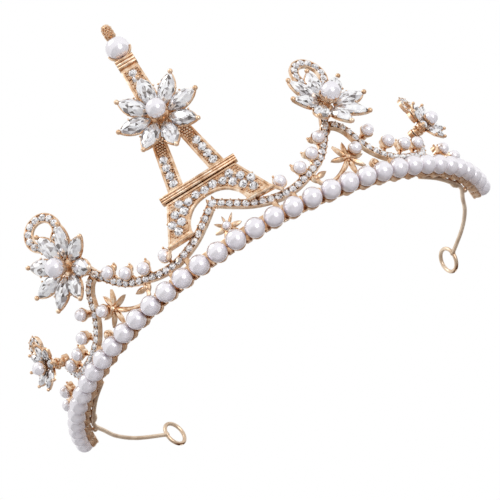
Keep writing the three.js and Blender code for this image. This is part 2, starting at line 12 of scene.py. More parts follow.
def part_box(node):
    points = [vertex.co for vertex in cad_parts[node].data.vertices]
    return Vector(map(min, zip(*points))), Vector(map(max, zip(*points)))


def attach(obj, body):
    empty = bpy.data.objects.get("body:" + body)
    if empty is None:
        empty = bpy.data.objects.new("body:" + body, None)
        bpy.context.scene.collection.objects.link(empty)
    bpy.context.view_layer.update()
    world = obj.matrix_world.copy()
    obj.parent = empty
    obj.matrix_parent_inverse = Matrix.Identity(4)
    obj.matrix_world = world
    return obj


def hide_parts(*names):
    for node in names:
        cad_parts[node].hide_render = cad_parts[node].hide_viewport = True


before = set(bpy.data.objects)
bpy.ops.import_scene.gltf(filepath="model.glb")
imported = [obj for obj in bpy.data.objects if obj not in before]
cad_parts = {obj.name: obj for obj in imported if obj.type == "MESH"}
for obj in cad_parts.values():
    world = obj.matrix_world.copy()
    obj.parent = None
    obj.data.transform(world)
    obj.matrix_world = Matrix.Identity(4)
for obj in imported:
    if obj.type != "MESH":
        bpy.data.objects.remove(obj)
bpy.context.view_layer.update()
chance = random.Random(7)

# ---- sizes, in millimetres ----
MM = 0.001
BAND_RADIUS = 76.8             # pearl line, seen from above
PEARL_COUNT = 37
PEARL_RADIUS = 3.0
PEARL_PITCH = 6.3
STRIP_FRONT, STRIP_BACK = -3.2, -4.0     # outward from the pearl line
STRIP_TOP = 3.5                # over the pearl line
STRIP_BRIDGE = 1.2             # how far the strip hangs under the pearl line between cups
STRIP_SCALLOP = 2.0            # and at a cup
RAIL_STAR = 6.1                # height of the small star over the middle pearl
RAIL_STAR_PEARL, RAIL_STAR_SEAT = 1.3, -1.9
RAIL_STAR_LEAVES = [(0.2, 4.0, 0.9), (-3.1, 3.1, 1.0), (-4.3, 0.1, 1.5), (3.5, 3.4, 0.8),
                    (4.5, -0.6, 1.5), (2.7, -2.9, 1.1), (-2.7, -2.9, 1.1)]   # tip and width
CAST_FRONT, CAST_BACK = -2.6, -4.2       # the vines' casting
VINE_PEARL = 1.95
STONE_RADIUS = 1.25
STONE_PITCH = 2.5
TOWER_STONE = 1.5
TOWER_FRONT = 1.5              # outward from the tower's own back
TOWER_OUTWARD = -3.2
TOWER_LEAN, LEAN_HEIGHT = 0.023, 10      # the height at which the lean leaves it in place
BAR_FOOT, BAR_TOP, BAR_HALF = 22.0, 24.4, 12.6
BAR_RIDGES, BAR_FRONT = 3, 1.75
COLLAR_FOOT, COLLAR_HALF = 67.3, 3.1
COLLAR_RIDGES, COLLAR_PITCH, COLLAR_FRONT = 3, 1.15, 1.7
SPIRE_PEARL, SPIRE_PEARL_HEIGHT = 3.75, 75.75
SPIRE_ROD, SPIRE_AXIS = 0.6, 0.75        # its radius, and how far out it stands
TIP_FOOT, TIP_RADIUS, TIP_LENGTH = 80.2, 1.7, 5.3
CENTRE_FLOWER = 47.0
WIRE_RADIUS, RING_RADIUS = 0.7, 4.2
WIRE_LINE = 71.3               # from the band's centre
WIRE_DROP, WIRE_SPREAD = 1.8, 3.1        # under the pearl line, and to one side at the ring
WIRE_LEAVES, RING_PAST = -14, 34         # degrees past the strip's end
CAMERA_DISTANCE = 421.865

LARGE = dict(length=10.4, width=5.5, depth=1.7, reach=13.5, lift=16, pearl=3.0,
             seat=6.3, floor=0.37, hub=2.7, prong=0.8, stem=1.35)
SMALL = dict(length=5.8, width=3.2, depth=1.3, reach=7.9, lift=24, pearl=2.1,
             seat=4.9, floor=0.2, hub=1.9, prong=0.55, stem=0.95)
SIDE_LOOP = dict(outer=6.4, hole=3.4, stones=11)
END_LOOP = dict(outer=3.7, hole=1.8, stones=8, centre=8.6, tilt=0, twist=0)

# ---- looks ----
WHITE = (1.0, 1.0, 1.0)
CREASE = 38                    # degrees between two faces from which their edge stays sharp
PAINTED_FACET_DARKNESS = 1.2           # a higher power makes more of the facets' painted reflections dark
SOFT_LEVEL = 0.42              # of the surroundings, on surfaces that don't mirror them

# ---- places ----
low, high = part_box("band_pearl_19")
MIDDLE_PEARL = (low + high) / 2
BAND_CENTRE = MIDDLE_PEARL + Vector((0, BAND_RADIUS * MM, 0))
OUT = Vector((0, 0, 1))


def round_band(point):
    """Bends a flat drawing of along, height and outward round the band."""
    angle = point.x / BAND_RADIUS
    radius = (BAND_RADIUS + point.z) * MM
    return BAND_CENTRE + Vector((radius * math.sin(angle), -radius * math.cos(angle), point.y * MM))


def axes(x, y, z, place):
    """A matrix with these axes, at this place."""
    matrix = Matrix((x, y, z)).transposed().to_4x4()
    matrix.translation = place
    return matrix


def seat(along, height, outward, turn=0):
    """Axes along, up and outward at a place on the band, scaled to millimetres."""
    facing = along / BAND_RADIUS + math.radians(turn)
    side = Vector((math.cos(facing), math.sin(facing), 0))
    ahead = Vector((math.sin(facing), -math.cos(facing), 0))
    place = round_band(Vector((along, height, outward)))
    return axes(side, OUT, ahead, place) @ Matrix.Scale(MM, 4)


def rigid(matrix):
    return lambda point: matrix @ point


def shift(x, y, z):
    return Matrix.Translation((x, y, z))


def turn_z(degrees):
    return Matrix.Rotation(math.radians(degrees), 4, "Z")


UPRIGHT = Matrix.Rotation(-math.pi / 2, 4, "X")   # stands a turned shape along the height
SPIRE_PLACE = shift(0, 0, SPIRE_AXIS) @ UPRIGHT


# ---- lines ----
def arc(centre, radius, start, end, steps):
    """Points of an arc, in degrees."""
    turns = [math.radians(start + (end - start) * i / steps) for i in range(steps + 1)]
    return [(centre[0] + radius * math.cos(t), centre[1] + radius * math.sin(t)) for t in turns]


def flipped(outline):
    return [(-x, y) for x, y in reversed(outline)]


def both(right):
    """A symmetrical outline from its right half."""
    return right + flipped(right)


def in_space(place):
    return Vector((*place, 0)) if len(place) == 2 else Vector(place)


def fine_line(points, steps=24):
    """A smooth line through places in the plane or in space, in many short steps."""
    ends = [in_space(p) for p in (points[0], *points, points[-1])]
    fine = []
    for a, b, c, d in zip(ends, ends[1:], ends[2:], ends[3:]):
        for k in range(steps):
            t = k / steps
            fine.append(0.5 * (2 * b + (c - a) * t + (2 * a - 5 * b + 4 * c - d) * t * t
                               + (3 * b - a - 3 * c + d) * t ** 3))
    return fine + [ends[-1]]


def smooth_line(points, step):
    """Places about step apart on a smooth line through the given ones, with its way there."""
    fine = fine_line(points)
    lengths = [0.0]
    for a, b in zip(fine, fine[1:]):
        lengths.append(lengths[-1] + (b - a).length)
    count = max(1, round(lengths[-1] / step))
    places, k = [], 0
    for i in range(count + 1):
        want = lengths[-1] * i / count
        while k < len(fine) - 2 and lengths[k + 1] < want:
            k += 1
        share = (want - lengths[k]) / max(1e-9, lengths[k + 1] - lengths[k])
        places.append((fine[k].lerp(fine[k + 1], min(1, share)), (fine[k + 1] - fine[k]).normalized()))
    return places


def flat_stations(route, step):
    """Stations across a flat route: X to its left, Y outward."""
    line = smooth_line(route, step)
    return [axes(Vector((-way.y, way.x, 0)), OUT, way, place) for place, way in line]


def channel_section(width, back, front, rim, bed):
    """A gallery with a raised rim along each side of its bed."""
    half, soft = width / 2, 0.08
    return both([(half, back), (half, front - soft), (half - soft, front), (half - rim + soft, front),
                 (half - rim, front - soft), (half - rim, front - bed)])


def bar_section(width, back, front, soft=0.3):
    """A bar with its edges cut off."""
    half = width / 2
    return both([(half - soft, back), (half, back + soft), (half, front - soft), (half - soft, front)])


def round_section(radius, sides=12):
    return arc((0, 0), radius, 0, 360 - 360 / sides, sides - 1)


# ---- shapes ----
def only(geom, kind):
    return [part for part in geom if isinstance(part, kind)]


def stamp(bm, shape, place=Matrix()):
    """Adds a copy of a small shape to a piece."""
    shape.verts.index_update()
    copies = [bm.verts.new(place @ vert.co) for vert in shape.verts]
    for face in shape.faces:
        bm.faces.new([copies[vert.index] for vert in face.verts])


def turned(profile, steps, closed=False):
    """A solid turned about Z from points of radius and height, which start and end on Z
    or close round a bore."""
    bm = bmesh.new()
    verts = [bm.verts.new((radius, 0, height)) for radius, height in profile]
    pairs = zip(verts[-1:] + verts, verts) if closed else zip(verts, verts[1:])
    edges = [bm.edges.new(pair) for pair in pairs]
    bmesh.ops.spin(bm, geom=verts + edges, cent=(0, 0, 0), axis=(0, 0, 1),
                   angle=2 * math.pi, steps=steps, use_merge=True)
    bmesh.ops.remove_doubles(bm, verts=bm.verts, dist=1e-4)
    bmesh.ops.recalc_face_normals(bm, faces=bm.faces)
    return bm


def sweep(bm, section, stations, closed=False):
    """Draws a closed section through stations whose X and Y axes carry it."""
    verts = [bm.verts.new(stations[0] @ Vector((x, y, 0))) for x, y in section]
    edges = [bm.edges.new((verts[i - 1], verts[i])) for i in range(len(verts))]
    every = list(verts)
    if not closed:
        bmesh.ops.contextual_create(bm, geom=edges)
    for before, station in zip(stations, stations[1:]):
        out = bmesh.ops.extrude_edge_only(bm, edges=edges)["geom"]
        ring = only(out, bmesh.types.BMVert)
        bmesh.ops.transform(bm, matrix=station @ before.inverted(), verts=ring)
        edges = [e for e in only(out, bmesh.types.BMEdge) if all(v in ring for v in e.verts)]
        every += ring
    if closed:
        bmesh.ops.remove_doubles(bm, verts=every, dist=1e-3)
    else:
        bmesh.ops.contextual_create(bm, geom=edges)


def plate(bm, outline, back, front, rim=0.0, bed=0.0, soft=0.15):
    """A flat casting with softened edges and, where rim is given, a sunken bed."""
    verts = [bm.verts.new((x, y, back)) for x, y in outline]
    out = bmesh.ops.extrude_face_region(bm, geom=[bm.faces.new(verts)])["geom"]
    bmesh.ops.translate(bm, vec=(0, 0, front - back), verts=only(out, bmesh.types.BMVert))
    top = only(out, bmesh.types.BMFace)[0]
    edges = list(top.edges)
    if rim:
        bmesh.ops.inset_region(bm, faces=[top], thickness=rim, use_even_offset=True)
        edges += list(top.edges)
        bmesh.ops.inset_region(bm, faces=[top], thickness=0.12, use_even_offset=True)
        bmesh.ops.translate(bm, vec=(0, 0, -bed), verts=top.verts)
    if soft:
        bmesh.ops.bevel(bm, geom=edges, offset=soft, segments=2, profile=0.5,
                        affect="EDGES", material=-1, clamp_overlap=True)


def leaf(bm, start, tip, width, back, front, crease=0.35, fullness=0.85):
    """A pointed blade with a raised midrib."""
    base, way = Vector((*start, 0)), Vector((*tip, 0)) - Vector((*start, 0))
    across = Vector((-way.y, way.x, 0)).normalized() * width / 2
    sheet = bmesh.ops.create_grid(bm, x_segments=7, y_segments=4, size=0.5)["verts"]
    for vert in sheet:
        part, side = vert.co.x + 0.5, vert.co.y * 2
        swell = max(0.0, math.sin(math.pi * part)) ** fullness
        rise = crease * swell * (1 - abs(side) ** 1.5)
        vert.co = base + way * part + across * side * swell + OUT * (front - crease + rise)
    faces = list(dict.fromkeys(face for vert in sheet for face in vert.link_faces))
    out = bmesh.ops.extrude_face_region(bm, geom=faces)["geom"]
    under = only(out, bmesh.types.BMVert)
    for vert in under:
        vert.co.z = back
    bmesh.ops.remove_doubles(bm, verts=sheet + under, dist=1e-3)


def ball(subdivisions):
    bm = bmesh.new()
    bmesh.ops.create_icosphere(bm, subdivisions=subdivisions, radius=1)
    return bm


def cut_crown(bm, sides, crown):
    """Draws a stone's steps up from its girdle, each turned half a facet on the one before."""
    face = bm.faces[:][0]
    half_step = Matrix.Rotation(math.pi / sides, 3, "Z")
    for scale, rise in ((1.0, 0.12), (0.84, 0.38), (0.72, 0.32), (0.66, 0.18)):
        out = bmesh.ops.extrude_face_region(bm, geom=[face])["geom"]
        ring = only(out, bmesh.types.BMVert)
        face = only(out, bmesh.types.BMFace)[0]
        bmesh.ops.scale(bm, vec=(scale, scale, 1), verts=ring)
        bmesh.ops.translate(bm, vec=(0, 0, rise * crown), verts=ring)
        if scale < 1:
            bmesh.ops.rotate(bm, cent=(0, 0, 0), matrix=half_step, verts=ring)


def slanted(face):
    """A height along a slanting line, on which no two facets of a stone are level."""
    return face.calc_center_median().dot(Vector((1, 0.62, 7.3)))


def cut_stone(length, width, crown, pavilion, sides, point):
    """A faceted stone round its girdle at Z = 0; point draws its ends out along X."""
    bm = bmesh.new()
    bmesh.ops.create_circle(bm, cap_ends=True, segments=sides, radius=1)
    quarter = Matrix.Rotation(math.pi / 2, 3, "Z")
    bmesh.ops.rotate(bm, cent=(0, 0, 0), matrix=quarter, verts=bm.verts)
    cut_crown(bm, sides, crown)
    floor = min(bm.faces, key=lambda f: f.calc_center_median().z)
    keel = bmesh.ops.poke(bm, faces=[floor])["verts"]
    bmesh.ops.translate(bm, vec=(0, 0, -pavilion), verts=keel)
    table = max(bm.faces, key=lambda f: f.calc_center_median().z)
    bmesh.ops.poke(bm, faces=[table])
    bmesh.ops.triangulate(bm, faces=[f for f in bm.faces if len(f.verts) == 4])
    for vert in bm.verts:
        radius = math.hypot(vert.co.x, vert.co.y)
        narrow = (abs(vert.co.y) / radius) ** point if radius > 1e-6 and point else 1
        vert.co.x *= length / 2
        vert.co.y *= width / 2 * narrow
    bmesh.ops.recalc_face_normals(bm, faces=bm.faces)
    bm.faces.sort(key=slanted)      # the facets come in the same order each run
    return bm


def pearl_shape(radius, hole=0.0, steps=28):
    """A pearl drilled along Z, from one side or, where hole is given, through."""
    bore = hole or 0.14 * radius
    start = math.degrees(math.asin(bore / radius))
    side = [(r, -z) for z, r in arc((0, 0), radius, start, 180 - start, 20)]
    mouth = side[0][1]
    if hole:
        bored = [(bore, -mouth * t) for t in (0.6, 0.0, -0.6)]
        return turned([*side, *bored], steps, closed=True)
    bored = [(0, mouth + 0.3 * radius), (bore * 0.9, mouth + 0.25 * radius)]
    return turned([*bored, *side[:-1], (0, radius)], steps)


def cup_shape(radius, rim, foot, foot_radius, steps=20):
    """A turned cup for a pearl at the origin; rim and foot are heights under its centre."""
    hollow = radius + 0.05
    start = math.degrees(math.asin(rim / hollow))
    bowl = [(r, -z) for r, z in arc((0, 0), hollow, start, 90, 7)]
    mouth = bowl[0][0]
    wall = [(0, -foot), (foot_radius, -foot), (foot_radius * 0.98, -foot + 0.3),
            (0.86 * radius, -0.86 * radius)]
    lip = [(mouth + 0.28, -rim - 0.1), (mouth + 0.26, -rim + 0.12), (mouth + 0.06, -rim + 0.14)]
    return turned([*wall, *lip, *bowl[:-1], (0, -hollow)], steps)


# ---- small repeated shapes ----
GRAIN = ball(1)
BALL = ball(2)
PAVE = cut_stone(2 * STONE_RADIUS, 2 * STONE_RADIUS, 0.75, 0.5, 8, 0)
MARQUISES = {
    "large": cut_stone(LARGE["length"], LARGE["width"], LARGE["depth"], 0.5, 12, 0.75),
    "small": cut_stone(SMALL["length"], SMALL["width"], SMALL["depth"], 0.4, 12, 0.75),
}


def grain(bm, centre, radius, shape=GRAIN):
    stamp(bm, shape, shift(*centre) @ Matrix.Scale(radius, 4))


def grain_ring(bm, centre, reach, height, size, count=4, start=45):
    """Grains round a spot, by itself the four claws that hold a stone."""
    for k in range(count):
        spot = math.radians(start + 360 / count * k)
        grain(bm, (centre[0] + reach * math.cos(spot), centre[1] + reach * math.sin(spot), height), size)


def pave_stone(bm, x, y, z, size=1.0):
    """A small round stone, set a little askew."""
    lean = Matrix.Rotation(chance.uniform(-0.12, 0.12), 4, "X")
    lean = lean @ Matrix.Rotation(chance.uniform(-0.12, 0.12), 4, "Y")
    stamp(bm, PAVE, shift(x, y, z) @ lean @ turn_z(chance.uniform(0, 45)) @ Matrix.Scale(size, 4))


# ---- finishes ----
class Finish:
    """A node material under construction."""

    def __init__(self, name, **constants):
        self.material = bpy.data.materials.new(name)
        self.material.use_nodes = True
        self.tree = self.material.node_tree
        self.shader = self.tree.nodes["Principled BSDF"]
        for socket, value in constants.items():
            self.shader.inputs[socket.replace("_", " ")].default_value = value
        self.place = self.add("ShaderNodeTexCoord").outputs["Object"]

    def add(self, kind, sockets=None, **settings):
        """A node with its settings, and its sockets set to a value or linked."""
        node = self.tree.nodes.new(kind)
        for key, value in settings.items():
            setattr(node, key, value)
        for key, value in (sockets or {}).items():
            if isinstance(value, bpy.types.NodeSocket):
                self.tree.links.new(value, node.inputs[key])
            else:
                node.inputs[key].default_value = value
        return node

    def to(self, socket, value):
        self.tree.links.new(value, self.shader.inputs[socket])

    def noise(self, scale, detail=3.0, roughness=0.5):
        sockets = {"Vector": self.place, "Scale": scale, "Detail": detail, "Roughness": roughness}
        return self.add("ShaderNodeTexNoise", sockets).outputs["Fac"]

    def ramp(self, value, stops):
        node = self.add("ShaderNodeValToRGB", {"Fac": value})
        elements = node.color_ramp.elements
        while len(elements) < len(stops):
            elements.new(0.5)
        for element, (position, colour) in zip(elements, stops):
            element.position = position
            element.color = (*colour, 1)
        return node.outputs["Color"]

    def multiplied(self, first, second):
        sockets = {0: 1.0, 6: first, 7: second}      # whole strength, and the two colours
        node = self.add("ShaderNodeMix", sockets, data_type="RGBA", blend_type="MULTIPLY")
        return node.outputs[2]

    def scaled(self, value, low, high):
        sockets = {"Value": value, "To Min": low, "To Max": high}
        return self.add("ShaderNodeMapRange", sockets).outputs["Result"]

    def bump(self, height, strength, distance):
        sockets = {"Height": height, "Strength": strength, "Distance": distance}
        self.to("Normal", self.add("ShaderNodeBump", sockets).outputs["Normal"])


def painted_corner_shade(finish, reach):
    """Painted shade: how open a spot lies, dark in corners narrower than the reach."""
    node = finish.add("ShaderNodeAmbientOcclusion", {"Distance": reach * MM}, samples=6)
    return node.outputs["AO"]


def rose_gold():
    """Bright plated casting: warm highlights, finely pitted, and browner in its corners from painted shade.
    """
    finish = Finish("rose_gold_plate", Metallic=1.0)
    tone = finish.ramp(finish.noise(520, 5, 0.6), [(0.34, (0.56, 0.34, 0.19)),
                                                   (0.5, (0.79, 0.55, 0.37)),
                                                   (0.66, (0.95, 0.80, 0.64))])
    # painted shade: the base colour turns darker and browner in corners narrower than 1.4 mm
    depth = finish.ramp(painted_corner_shade(finish, 1.4), [(0.05, (0.50, 0.28, 0.13)),
                                                (0.45, (0.92, 0.78, 0.62)),
                                                (0.8, WHITE)])
    finish.to("Base Color", finish.multiplied(tone, depth))
    finish.to("Roughness", finish.scaled(finish.noise(1500, 5), 0.16, 0.34))
    finish.bump(finish.noise(2600, 4, 0.6), 0.35, 0.00006)
    return finish.material


def champagne_wire():
    """Satin drawn wire, a little greyer than the castings, with painted shade in its corners."""
    finish = Finish("champagne_wire", Metallic=1.0)
    tone = finish.ramp(finish.noise(180, 3), [(0.35, (0.60, 0.44, 0.31)), (0.7, (0.84, 0.68, 0.52))])
    # painted shade: the base colour turns darker and browner in corners narrower than 1.2 mm
    depth = finish.ramp(painted_corner_shade(finish, 1.2), [(0.15, (0.5, 0.3, 0.16)), (0.8, WHITE)])
    finish.to("Base Color", finish.multiplied(tone, depth))
    finish.to("Roughness", finish.scaled(finish.noise(900, 3), 0.26, 0.4))
    finish.bump(finish.noise(3500, 3), 0.2, 0.00004)
    return finish.material


def pearl_coat():
    """Pearl lacquer: a faintly lavender white body; towards the edge as seen it has a painted lavender tint,
    then painted shade with a rose painted reflection, and painted shade in its corners.
    """
    finish = Finish("pearl_lacquer", Metallic=0.5, IOR=1.6, Specular_IOR_Level=1.0,
                    Coat_Weight=1.0, Coat_Roughness=0.14)
    body = finish.ramp(finish.noise(220, 3), [(0.3, (0.87, 0.84, 0.89)), (0.7, (0.93, 0.905, 0.94))])
    # painted shade and painted reflection: by the angle it is seen at, the colour turns faintly lavender and
    # then a dark rose at the edge
    facing = finish.add("ShaderNodeLayerWeight", {"Blend": 0.35}).outputs["Facing"]
    painted_rim_shade = finish.ramp(facing, [(0.0, (0.97, 0.97, 0.98)), (0.3, WHITE),
                                    (0.6, (0.95, 0.93, 0.97)), (1.0, (0.76, 0.62, 0.66))])
    # painted shade: a darker rose in corners narrower than 2.2 mm, between the pearls and in their cups; its
    # rose tint is a painted reflection of the gold
    depth = finish.ramp(painted_corner_shade(finish, 2.2), [(0.05, (0.62, 0.50, 0.50)), (0.7, WHITE)])
    finish.to("Base Color", finish.multiplied(finish.multiplied(body, painted_rim_shade), depth))
    finish.to("Roughness", finish.scaled(finish.noise(700, 4), 0.17, 0.24))
    finish.bump(finish.noise(1800, 3), 0.1, 0.00002)
    return finish.material


def foiled_crystal():
    """Clear cut glass on silver foil: each facet shows a painted reflection, a random grey of its own."""
    finish = Finish("foiled_crystal", Metallic=0.55, Coat_Weight=1.0, Coat_Roughness=0.02,
                    IOR=1.6, Specular_IOR_Level=0.8)
    facet = finish.add("ShaderNodeAttribute", attribute_name="facet").outputs["Fac"]
    # painted reflection: each facet's random grey, from near black to white, stands in for what it reflects
    tone = finish.ramp(facet, [(0.0, (0.09, 0.07, 0.06)), (0.14, (0.42, 0.38, 0.37)),
                               (0.30, (0.86, 0.84, 0.85)), (0.5, WHITE)])
    cloud = finish.ramp(finish.noise(900, 2), [(0.35, (0.82, 0.82, 0.86)), (0.6, WHITE)])
    finish.to("Base Color", finish.multiplied(tone, cloud))
    finish.to("Roughness", finish.scaled(finish.noise(600, 2), 0.03, 0.1))
    return finish.material


def studio_floor():
    """Pale paper, clear from underneath and to the light that comes from there."""
    finish = Finish("pale_floor", Roughness=0.7)
    tone = finish.ramp(finish.noise(40, 3), [(0.3, (0.86, 0.86, 0.87)), (0.7, (0.89, 0.89, 0.90))])
    finish.to("Base Color", tone)
    under = finish.add("ShaderNodeNewGeometry").outputs["Backfacing"]
    clear = finish.add("ShaderNodeBsdfTransparent").outputs["BSDF"]
    shadow = finish.add("ShaderNodeLightPath").outputs["Is Shadow Ray"]
    through = finish.add("ShaderNodeMath", {0: under, 1: shadow}, operation="MAXIMUM").outputs[0]
    sides = finish.add("ShaderNodeMixShader", {0: through, 1: finish.shader.outputs["BSDF"], 2: clear})
    finish.tree.links.new(sides.outputs[0], finish.tree.nodes["Material Output"].inputs["Surface"])
    return finish.material


FINISHES = {"gold": rose_gold(), "wire": champagne_wire(), "pearl": pearl_coat(), "crystal": foiled_crystal()}


# ---- pieces ----
def paint_facet_reflections(bm):
    """Paints each flat facet a random grey of its own, as its painted reflection."""
    shade = bm.faces.layers.float.new("facet")
    for face in bm.faces:
        face[shade] = chance.random() ** PAINTED_FACET_DARKNESS


def shade_smooth(bm):
    """Rounds the faces off to the eye, up to the creases."""
    for face in bm.faces:
        face.smooth = True
    for edge in bm.edges:
        edge.smooth = edge.is_manifold and edge.calc_face_angle(0) < math.radians(CREASE)


def add_object(name, bm, material):
    """Turns a drawn shape into an object of one material."""
    mesh = bpy.data.meshes.new(name)
    bm.to_mesh(mesh)
    bm.free()
    mesh.materials.append(material)
    made = bpy.data.objects.new(name, mesh)
    bpy.context.scene.collection.objects.link(made)
    return made


def make_piece(name, bm, place, slot, replaced=()):
    """Puts a drawn shape in its place and hands it over as a piece."""
    for vert in bm.verts:
        vert.co = place(vert.co)
    bmesh.ops.recalc_face_normals(bm, faces=bm.faces)
    # crystal facets each get a painted reflection, a random grey; other pieces are shaded smooth
    if slot == "crystal":
        paint_facet_reflections(bm)
    else:
        shade_smooth(bm)
    piece = add_object(name, bm, FINISHES[slot])
    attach(piece, "root")
    if replaced:
        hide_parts(*replaced)


def mirrored(bm):
    copy = bm.copy()
    bmesh.ops.scale(copy, vec=(-1, 1, 1), verts=copy.verts)
    bmesh.ops.reverse_faces(copy, faces=copy.faces)
    return copy


# ---- band ----
def pearl_place(index):
    """How far along the band a pearl sits."""
    return (index - (PEARL_COUNT - 1) / 2) * PEARL_PITCH


def scalloped_strip(bm):
    """The strip behind the pearls, scalloped under each one and dipped a little over it."""
    columns, rows = 12, 6
    dip, dip_half = 0.25, 1.6
    length = PEARL_COUNT * PEARL_PITCH
    sheet = bmesh.ops.create_grid(bm, x_segments=columns * PEARL_COUNT, y_segments=rows, size=0.5)["verts"]
    for vert in sheet:
        along, part = vert.co.x * length, vert.co.y + 0.5
        off = abs((along / PEARL_PITCH + 0.5) % 1 - 0.5) * PEARL_PITCH
        scallop = math.sqrt(max(0, STRIP_SCALLOP ** 2 - off ** 2))
        foot = -max(STRIP_BRIDGE, scallop)
        top = STRIP_TOP - dip * (1 - min(1, off / dip_half)) ** 2
        vert.co = Vector((along, foot + part * (top - foot), STRIP_FRONT))
    out = bmesh.ops.extrude_face_region(bm, geom=list(bm.faces))["geom"]
    bmesh.ops.translate(bm, vec=(0, 0, STRIP_BACK - STRIP_FRONT), verts=only(out, bmesh.types.BMVert))
    bmesh.ops.recalc_face_normals(bm, faces=bm.faces)
    rims = [e for e in bm.edges if e.is_manifold and e.calc_face_angle(0) > math.radians(60)]
    bmesh.ops.bevel(bm, geom=rims, offset=0.16, segments=1, profile=0.5, affect="EDGES", material=-1)


def webs(bm, gap):
    """The two webs between neighbouring cups, over and under the pearl line."""
    back, front = STRIP_FRONT - 0.1, STRIP_FRONT + 0.5
    plate(bm, [(gap - 1.7, STRIP_TOP), (gap, 0.7), (gap + 1.7, STRIP_TOP)], back, front, soft=0.2)
    plate(bm, [(gap, -0.7), (gap - 0.9, -1.7), (gap + 0.9, -1.7)], back, front, soft=0.15)


def rail_star(bm):
    """The small star over the middle pearl, with a cup for its own pearl."""
    for along, rise, width in RAIL_STAR_LEAVES:
        leaf(bm, (0, RAIL_STAR), (along, RAIL_STAR + rise), width, STRIP_BACK, STRIP_BACK + 1.1, 0.3)
    stamp(bm, cup_shape(RAIL_STAR_PEARL, 0.3, 1.6, 0.8, 12), shift(0, RAIL_STAR, RAIL_STAR_SEAT))


def build_rail():
    bm = bmesh.new()
    scalloped_strip(bm)
    cup = cup_shape(PEARL_RADIUS, 1.9, 0.2 - STRIP_BACK, 1.9)
    for index in range(PEARL_COUNT):
        stamp(bm, cup, shift(pearl_place(index), 0, 0))
        if index < PEARL_COUNT - 1:
            webs(bm, pearl_place(index + 0.5))
    rail_star(bm)
    make_piece("rail_casting", bm, round_band, "gold", ["band_rail"])


def build_rail_pearls():
    bm = bmesh.new()
    stamp(bm, pearl_shape(RAIL_STAR_PEARL, steps=16), shift(0, RAIL_STAR, RAIL_STAR_SEAT))
    make_piece("rail_star_pearl", bm, round_band, "pearl")
    bead = pearl_shape(PEARL_RADIUS)
    for index in range(PEARL_COUNT):
        number = f"{index + 1:02d}"
        place = rigid(seat(pearl_place(index), 0, 0))
        make_piece(f"rail_pearl_{number}", bead.copy(), place, "pearl", [f"band_pearl_{number}"])


# ---- tower ----
def tower_place(point):
    """Leans the tower's own drawing a little and stands it on the band."""
    leaned = Vector((point.x + TOWER_LEAN * (point.y - LEAN_HEIGHT), point.y - TOWER_LEAN * point.x, point.z))
    return seat(0, 0, TOWER_OUTWARD) @ leaned


def tower_plates(bm):
    """The arched base, the two legs and the column, each with a sunken bed."""
    curve = smooth_line([(9.3, 9.9), (8.3, 13.2), (5.9, 16.0), (3.0, 17.4), (0, 17.75)], 1.3)
    arch = [(place.x, place.y) for place, _ in curve]
    base = [(17.5, 9.0), (11.6, 21.8), (-11.6, 21.8), (-17.3, 9.8)]
    leg = [(4.5, 24.5), (9.5, 24.5), (6.75, 39), (4.95, 47), (0.0, 47), (0.2, 45.5), (2.15, 39)]
    column = both([(4.9, 46.5), (3.3, 54), (2.9, 67.5)])
    plate(bm, base + [(-x, y) for x, y in arch] + arch[-2::-1], 0, TOWER_FRONT, rim=0.6, bed=0.4)
    plate(bm, leg, 0, TOWER_FRONT, rim=0.75, bed=0.5)
    plate(bm, flipped(leg), 0, TOWER_FRONT, rim=0.75, bed=0.5)
    plate(bm, column, 0, TOWER_FRONT, rim=0.7, bed=0.5)


def tower_feet(bm):
    """The bar under each side of the base and the strut from it to the vine."""
    for side, outer in ((-1, 9.4), (1, 9.0)):
        sole = [(side * 9.0, 9.6), (side * 17.6, outer)]
        strut = [(side * 16.6, 10.0), (side * 18.0, 8.2), (side * 19.2, 6.7)]
        sweep(bm, bar_section(0.85, -0.6, 1.9, 0.25), flat_stations(sole, 4))
        sweep(bm, bar_section(0.9, 0.1, 1.3, 0.2), flat_stations(strut, 0.8))


def ridged_bar(bm, foot, top, half, ridges, front):
    """A bar across the tower with half-round ridges along its face and drawn-in ends."""
    ridge = (top - foot) / (2 * ridges)
    back, end_size, end_length = 0.1, 0.9, 0.15
    outline = [(foot, back)]
    for index in range(ridges):
        rise = foot + (2 * index + 1) * ridge
        outline += arc((rise, front), ridge * 0.98, 180, 0, 6)
    outline.append((top, back))
    height, outward = (foot + top) / 2, 1.2
    stations = []
    for along, size in ((-half, end_size), (-half + end_length, 1.0), (0, 1.0),
                        (half - end_length, 1.0), (half, end_size)):
        stations.append(Matrix(((0, 0, 1, along), (size, 0, 0, height * (1 - size)),
                                (0, size, 0, outward * (1 - size)), (0, 0, 0, 1))))
    sweep(bm, outline, stations)


def spire_collar(bm):
    """Ridges and a neck under the spire's pearl, the saddle that holds it and the rod through it."""
    for index in range(COLLAR_RIDGES):
        foot = COLLAR_FOOT + 0.8 + COLLAR_PITCH * index
        ridged_bar(bm, foot, foot + COLLAR_PITCH, COLLAR_HALF, 1, COLLAR_FRONT)
    neck_foot, neck_top = COLLAR_FOOT - 0.4, COLLAR_FOOT + 4.4
    plate(bm, [(2.8, neck_foot), (2.6, neck_top), (-2.6, neck_top), (-2.8, neck_foot)], 0, 1.3)
    rod_top = TIP_FOOT + 1.5
    rod = [(0, COLLAR_FOOT), (SPIRE_ROD, COLLAR_FOOT), (SPIRE_ROD, rod_top), (0, rod_top)]
    stamp(bm, turned(rod, 12), SPIRE_PLACE)
    middle = (0, SPIRE_PEARL_HEIGHT)
    saddle = arc(middle, SPIRE_PEARL + 0.4, -165, -15, 20) + arc(middle, SPIRE_PEARL + 0.05, -15, -165, 20)
    plate(bm, saddle, 0.2, 1.3, soft=0.12)


